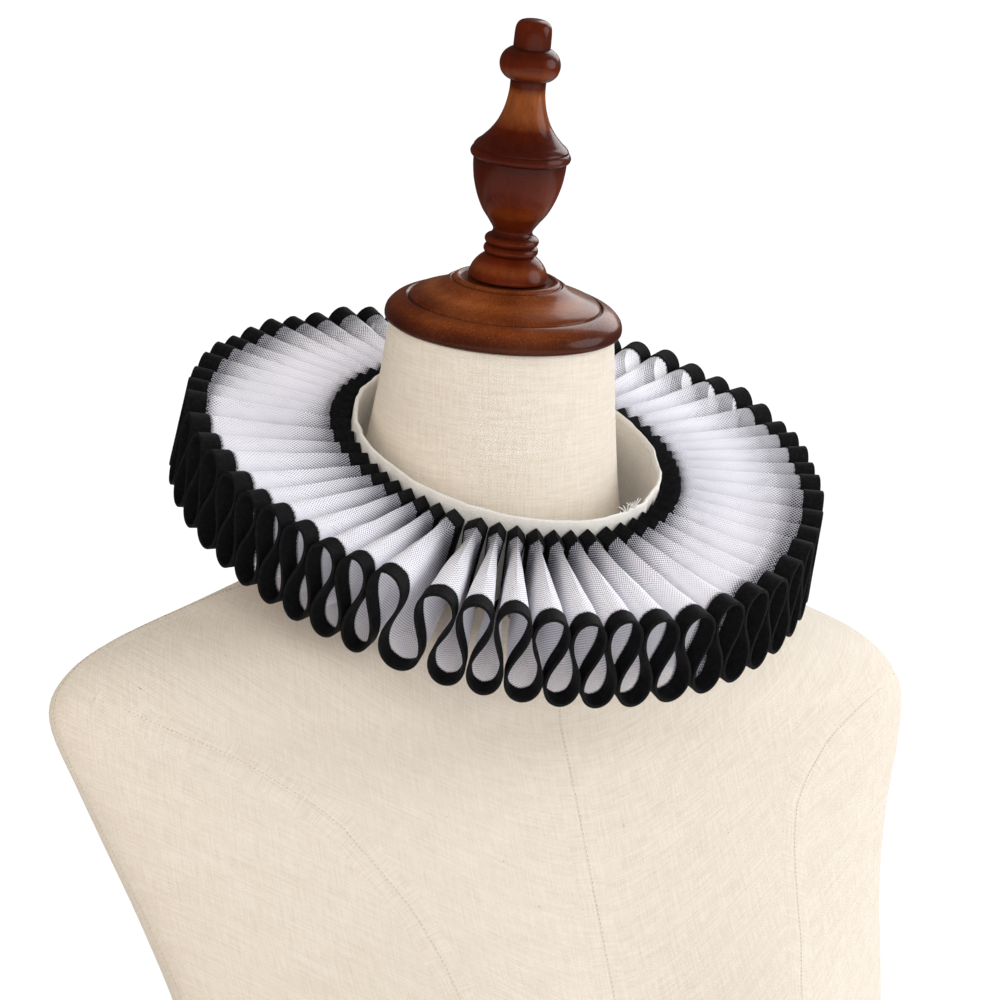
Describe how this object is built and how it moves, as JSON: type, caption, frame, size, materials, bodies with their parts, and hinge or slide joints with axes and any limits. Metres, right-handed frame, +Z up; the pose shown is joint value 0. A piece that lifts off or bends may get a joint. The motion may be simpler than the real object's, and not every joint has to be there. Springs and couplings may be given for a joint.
{
  "type": "ruff collar on dress form",
  "caption": "Deeply pleated white net ruff with black bound edges on a plain neckband, resting on a limbless linen dress form with a turned wooden cap and finial.",
  "frame": {"origin": "middle of the whole object's box, on the flat base that it stands on", "axes": "+Z up through the neck and finial, -Y out of the form's chest, so the collar's low side is at -Y and +X is on the form's own left"},
  "size_m": [0.402, 0.2749, 0.8503],
  "materials": {
    "white_net": "stiff sheer net",
    "black_ribbon": "matt ribbed ribbon",
    "cream_cotton": "plain woven",
    "natural_linen": "slubby plain weave",
    "varnished_wood": "satin varnish"
  },
  "bodies": {
    "root": {"ruffle_net": "white_net", "outer_binding": "black_ribbon", "inner_binding": "black_ribbon", "neckband": "cream_cotton", "back_tab": "cream_cotton", "form_body": "natural_linen", "neck_cap": "varnished_wood", "finial": "varnished_wood"}
  },
  "joints": []
}
